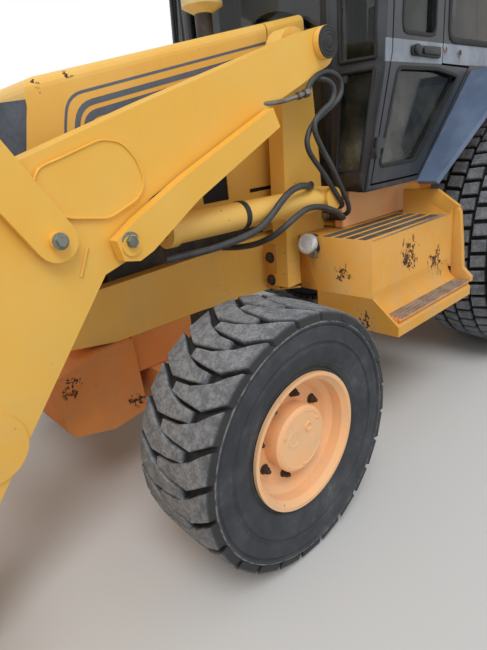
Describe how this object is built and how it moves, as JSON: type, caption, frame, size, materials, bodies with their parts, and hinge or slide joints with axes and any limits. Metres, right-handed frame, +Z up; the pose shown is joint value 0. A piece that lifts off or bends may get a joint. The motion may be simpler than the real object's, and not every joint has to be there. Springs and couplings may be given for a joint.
{
  "type": "backhoe loader",
  "caption": "Wheeled digger with a front loader bucket on lifting arms, a closed cab, and a folding rear digging arm with side stabilizer legs.",
  "frame": {"origin": "on the ground, below the middle of the machine's box", "axes": "+X forward, +Y to the left of the driver who faces forward, +Z up"},
  "size_m": [6.7192, 2.26, 3.4466],
  "materials": {
    "yellow_paint": "worn satin",
    "orange_paint": "worn satin",
    "slate_paint": "worn satin",
    "black_paint": "satin",
    "hard_chrome": "polished",
    "tyre_rubber": "dusty",
    "cab_glass": "clear tinted",
    "trim_plastic": "matte",
    "seat_cloth": "matte"
  },
  "bodies": {
    "machine": {"main_frame": "yellow_paint", "engine_block": "black_paint", "front_axle": "orange_paint", "rear_axle": "yellow_paint", "nose_weight": "orange_paint", "cowl": "yellow_paint", "step_boxes": "yellow_paint", "cab_floor": "orange_paint", "cab_posts": "slate_paint", "cab_roof": "slate_paint", "cab_glass": "cab_glass", "rear_fenders": "slate_paint", "cab_interior": "trim_plastic", "seat_cushion": "seat_cloth", "exhaust": "black_paint", "lamps": "cab_glass"},
    "hood_lid": {"hood": "yellow_paint", "front_grille": "slate_paint", "hood_lamps": "cab_glass"},
    "left_door": {"door_left": "slate_paint", "door_glass_left": "cab_glass"},
    "right_door": {"door_right": "slate_paint", "door_glass_right": "cab_glass"},
    "loader": {"loader_arms": "yellow_paint"},
    "lift_cylinders": {"lift_barrels": "yellow_paint"},
    "lift_pistons": {"lift_rods": "hard_chrome"},
    "levers": {"tilt_levers": "yellow_paint"},
    "links": {"bucket_links": "yellow_paint"},
    "tilt_cylinders": {"tilt_barrels": "yellow_paint"},
    "tilt_pistons": {"tilt_rods": "hard_chrome"},
    "front_bucket": {"loader_bucket": "yellow_paint"},
    "left_knuckle": {"knuckle_left": "black_paint"},
    "right_knuckle": {"knuckle_right": "black_paint"},
    "left_front_wheel": {"front_wheel_left": "orange_paint", "front_tyre_left": "tyre_rubber"},
    "right_front_wheel": {"front_wheel_right": "orange_paint", "front_tyre_right": "tyre_rubber"},
    "left_rear_wheel": {"rear_wheel_left": "orange_paint", "rear_tyre_left": "tyre_rubber"},
    "right_rear_wheel": {"rear_wheel_right": "orange_paint", "rear_tyre_right": "tyre_rubber"},
    "swing": {"swing_tower": "yellow_paint"},
    "boom_arm": {"boom": "yellow_paint"},
    "dipper_arm": {"dipper": "yellow_paint"},
    "rear_bucket": {"hoe_bucket": "yellow_paint"},
    "boom_cylinder": {"boom_ram_barrel": "yellow_paint"},
    "boom_piston": {"boom_ram_rod": "hard_chrome"},
    "dipper_cylinder": {"dipper_ram_barrel": "yellow_paint"},
    "dipper_piston": {"dipper_ram_rod": "hard_chrome"},
    "bucket_cylinder": {"bucket_ram_barrel": "yellow_paint"},
    "bucket_piston": {"bucket_ram_rod": "hard_chrome"},
    "guide_bars": {"hoe_guide_bars": "yellow_paint"},
    "rear_link": {"hoe_bucket_link": "yellow_paint"},
    "left_leg": {"stabilizer_left": "yellow_paint"},
    "right_leg": {"stabilizer_right": "yellow_paint"},
    "left_leg_cylinder": {"leg_barrel_left": "yellow_paint"},
    "right_leg_cylinder": {"leg_barrel_right": "yellow_paint"},
    "left_leg_piston": {"leg_rod_left": "hard_chrome"},
    "right_leg_piston": {"leg_rod_right": "hard_chrome"}
  },
  "joints": [
    {"name": "loader_lift", "type": "hinge", "parent": "machine", "child": "loader", "pos_m": [0.7976, 0, 1.608], "axis": [0, -1, 0], "range_deg": [-4, 92]},
    {"name": "lift_cylinder_turn", "type": "hinge", "parent": "machine", "child": "lift_cylinders", "pos_m": [0.7446, 0, 1.035], "axis": [0, -1, 0], "range_deg": [-3.99, 69.81]},
    {"name": "lift_piston_slide", "type": "slide", "parent": "lift_cylinders", "child": "lift_pistons", "axis": [0.9999, 0, 0.0147], "range_m": [-0.0379, 0.6523]},
    {"name": "front_bucket_tilt", "type": "hinge", "parent": "loader", "child": "front_bucket", "pos_m": [2.4396, 0, 0.27], "axis": [0, 1, 0], "range_deg": [-38, 137]},
    {"name": "lever_turn", "type": "hinge", "parent": "loader", "child": "levers", "pos_m": [1.9606, 0, 1.102], "axis": [0, 1, 0], "range_deg": [-39, 138]},
    {"name": "link_turn", "type": "hinge", "parent": "levers", "child": "links", "pos_m": [2.1706, 0, 1.46573], "axis": [0, 1, 0], "range_deg": [-138, 39]},
    {"name": "tilt_cylinder_turn", "type": "hinge", "parent": "loader", "child": "tilt_cylinders", "pos_m": [1.1996, 0, 1.425], "axis": [0, 1, 0], "range_deg": [-2.86, 7.71]},
    {"name": "tilt_piston_slide", "type": "slide", "parent": "tilt_cylinders", "child": "tilt_pistons", "axis": [0.9649, 0, -0.2628], "range_m": [-0.088, 0.2913]},
    {"name": "hood_hinge", "type": "hinge", "parent": "machine", "child": "hood_lid", "pos_m": [1.9496, 0, 0.905], "axis": [0, 1, 0], "range_deg": [0, 60]},
    {"name": "left_door_hinge", "type": "hinge", "parent": "machine", "child": "left_door", "pos_m": [0.6116, 0.718, 1.18], "axis": [0.1328, 0, -0.9911], "range_deg": [0, 85]},
    {"name": "right_door_hinge", "type": "hinge", "parent": "machine", "child": "right_door", "pos_m": [0.6116, -0.718, 1.18], "axis": [-0.1328, 0, 0.9911], "range_deg": [0, 85]},
    {"name": "steering_left", "type": "hinge", "parent": "machine", "child": "left_knuckle", "pos_m": [1.4996, 0.7, 0.42], "axis": [0, 0, 1], "range_deg": [-40, 40]},
    {"name": "steering_right", "type": "hinge", "parent": "machine", "child": "right_knuckle", "pos_m": [1.4996, -0.7, 0.42], "axis": [0, 0, 1], "range_deg": [-41, 41]},
    {"name": "left_front_wheel_spin", "type": "hinge", "parent": "left_knuckle", "child": "left_front_wheel", "pos_m": [1.4996, 0.899, 0.42], "axis": [0, 1, 0], "continuous": true},
    {"name": "left_rear_wheel_spin", "type": "hinge", "parent": "machine", "child": "left_rear_wheel", "pos_m": [-0.6504, 0.82, 0.665], "axis": [0, 1, 0], "continuous": true},
    {"name": "right_front_wheel_spin", "type": "hinge", "parent": "right_knuckle", "child": "right_front_wheel", "pos_m": [1.4996, -0.899, 0.42], "axis": [0, 1, 0], "continuous": true},
    {"name": "right_rear_wheel_spin", "type": "hinge", "parent": "machine", "child": "right_rear_wheel", "pos_m": [-0.6504, -0.82, 0.665], "axis": [0, 1, 0], "continuous": true},
    {"name": "swing_turn", "type": "hinge", "parent": "machine", "child": "swing", "pos_m": [-1.8304, 0, 0.5], "axis": [0, 0, 1], "range_deg": [-90, 90]},
    {"name": "boom_lift", "type": "hinge", "parent": "swing", "child": "boom_arm", "pos_m": [-2.0304, 0, 0.56], "axis": [0, -1, 0], "range_deg": [0, 140]},
    {"name": "boom_cylinder_turn", "type": "hinge", "parent": "swing", "child": "boom_cylinder", "pos_m": [-1.80413, 0, 0.88311], "axis": [0, -1, 0], "range_deg": [-1, 138]},
    {"name": "boom_piston_slide", "type": "slide", "parent": "boom_cylinder", "child": "boom_piston", "axis": [0.1425, 0, 0.9898], "range_m": [-0.01, 0.7484]},
    {"name": "dipper_turn", "type": "hinge", "parent": "boom_arm", "child": "dipper_arm", "pos_m": [-1.8304, 0, 3.08], "axis": [0, 1, 0], "range_deg": [0, 118]},
    {"name": "dipper_cylinder_turn", "type": "hinge", "parent": "boom_arm", "child": "dipper_cylinder", "pos_m": [-1.65808, 0, 1.96495], "axis": [0, 1, 0], "range_deg": [-1, 6]},
    {"name": "dipper_piston_slide", "type": "slide", "parent": "dipper_cylinder", "child": "dipper_piston", "axis": [-0.0372, 0, 0.9993], "range_m": [-0.5674, 0.01]},
    {"name": "rear_bucket_turn", "type": "hinge", "parent": "dipper_arm", "child": "rear_bucket", "pos_m": [-3.11269, 0, 2.04162], "axis": [0, 1, 0], "range_deg": [0, 155]},
    {"name": "guide_bar_turn", "type": "hinge", "parent": "dipper_arm", "child": "guide_bars", "pos_m": [-2.87068, 0, 2.3148], "axis": [0, 1, 0], "range_deg": [-1, 129.61]},
    {"name": "rear_link_turn", "type": "hinge", "parent": "guide_bars", "child": "rear_link", "pos_m": [-3.13064, 0, 2.31934], "axis": [0, 1, 0], "range_deg": [-112.33, 1]},
    {"name": "bucket_cylinder_turn", "type": "hinge", "parent": "dipper_arm", "child": "bucket_cylinder", "pos_m": [-2.22826, 0, 3.01517], "axis": [0, 1, 0], "range_deg": [-9.74, 1]},
    {"name": "bucket_piston_slide", "type": "slide", "parent": "bucket_cylinder", "child": "bucket_piston", "axis": [-0.7919, 0, -0.6106], "range_m": [-0.4587, 0.01]},
    {"name": "left_leg_turn", "type": "hinge", "parent": "machine", "child": "left_leg", "pos_m": [-1.5504, 0.56, 0.48], "axis": [-1, 0, 0], "range_deg": [0, 108]},
    {"name": "left_leg_cylinder_turn", "type": "hinge", "parent": "machine", "child": "left_leg_cylinder", "pos_m": [-1.5504, 0.45, 1.18], "axis": [-1, 0, 0], "range_deg": [-3.72, 1]},
    {"name": "left_leg_piston_slide", "type": "slide", "parent": "left_leg_cylinder", "child": "left_leg_piston", "axis": [0, 0.2922, -0.9563], "range_m": [-0.01, 0.3402]},
    {"name": "right_leg_turn", "type": "hinge", "parent": "machine", "child": "right_leg", "pos_m": [-1.5504, -0.56, 0.48], "axis": [1, 0, 0], "range_deg": [0, 108]},
    {"name": "right_leg_cylinder_turn", "type": "hinge", "parent": "machine", "child": "right_leg_cylinder", "pos_m": [-1.5504, -0.45, 1.18], "axis": [1, 0, 0], "range_deg": [-3.72, 1]},
    {"name": "right_leg_piston_slide", "type": "slide", "parent": "right_leg_cylinder", "child": "right_leg_piston", "axis": [0, -0.2922, -0.9563], "range_m": [-0.01, 0.3402]}
  ],
  "couplings": [
    {"joint": "lift_cylinder_turn", "follows": "loader_lift", "ratio": 0.7479},
    {"joint": "lift_piston_slide", "follows": "loader_lift", "m_per_rad": 0.40003},
    {"joint": "lever_turn", "follows": "front_bucket_tilt", "ratio": 1},
    {"joint": "link_turn", "follows": "front_bucket_tilt", "ratio": -1},
    {"joint": "tilt_cylinder_turn", "follows": "front_bucket_tilt", "ratio": 0.048986},
    {"joint": "tilt_piston_slide", "follows": "front_bucket_tilt", "m_per_rad": 0.11764},
    {"joint": "steering_right", "follows": "steering_left", "ratio": 1},
    {"joint": "boom_cylinder_turn", "follows": "boom_lift", "ratio": 0.97857},
    {"joint": "boom_piston_slide", "follows": "boom_lift", "m_per_rad": 0.3022},
    {"joint": "dipper_cylinder_turn", "follows": "dipper_turn", "ratio": 0.042358},
    {"joint": "dipper_piston_slide", "follows": "dipper_turn", "m_per_rad": -0.27064},
    {"joint": "guide_bar_turn", "follows": "rear_bucket_turn", "ratio": 0.82972},
    {"joint": "rear_link_turn", "follows": "rear_bucket_turn", "ratio": -0.71828},
    {"joint": "bucket_cylinder_turn", "follows": "rear_bucket_turn", "ratio": -0.056361},
    {"joint": "bucket_piston_slide", "follows": "rear_bucket_turn", "m_per_rad": -0.16585},
    {"joint": "left_leg_cylinder_turn", "follows": "left_leg_turn", "ratio": -0.025198},
    {"joint": "left_leg_piston_slide", "follows": "left_leg_turn", "m_per_rad": 0.17517},
    {"joint": "right_leg_cylinder_turn", "follows": "right_leg_turn", "ratio": -0.025198},
    {"joint": "right_leg_piston_slide", "follows": "right_leg_turn", "m_per_rad": 0.17517}
  ]
}
